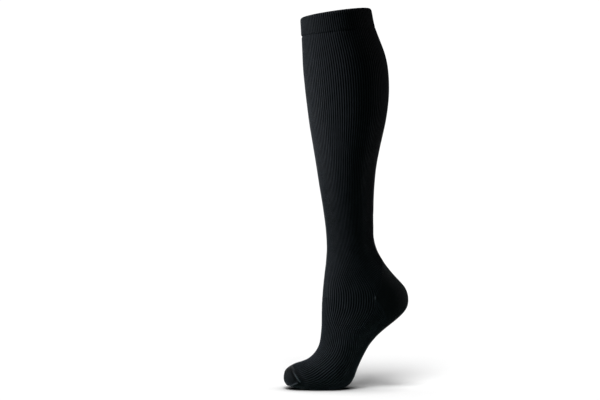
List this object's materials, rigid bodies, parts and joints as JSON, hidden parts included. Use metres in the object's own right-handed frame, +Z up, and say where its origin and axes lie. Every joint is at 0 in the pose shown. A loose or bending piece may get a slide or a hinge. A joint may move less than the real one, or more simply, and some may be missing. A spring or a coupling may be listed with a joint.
{
  "type": "compression stocking",
  "caption": "Knee-high ribbed compression stocking with a turned-over top band, plain heel pocket and seamed toe, filled out on the ball of the foot.",
  "frame": {"origin": "middle of the leg opening, where the top band grips the leg just below the knee", "axes": "+Z up the leg, -Y towards the toes, +Y towards the heel, +X to one side; the stocking is the same on both sides of X = 0"},
  "size_m": [0.1102, 0.1743, 0.5325],
  "materials": {
    "band_knit": "matt black double ribbed knit",
    "rib_knit": "matt black fine ribbed knit",
    "plain_knit": "matt black plain knit",
    "seam_yarn": "matt black linked yarn"
  },
  "bodies": {
    "root": {"welt": "band_knit", "leg": "rib_knit", "heel_pocket": "plain_knit", "foot": "rib_knit", "toe_cap": "plain_knit", "toe_seam": "seam_yarn"}
  },
  "joints": []
}
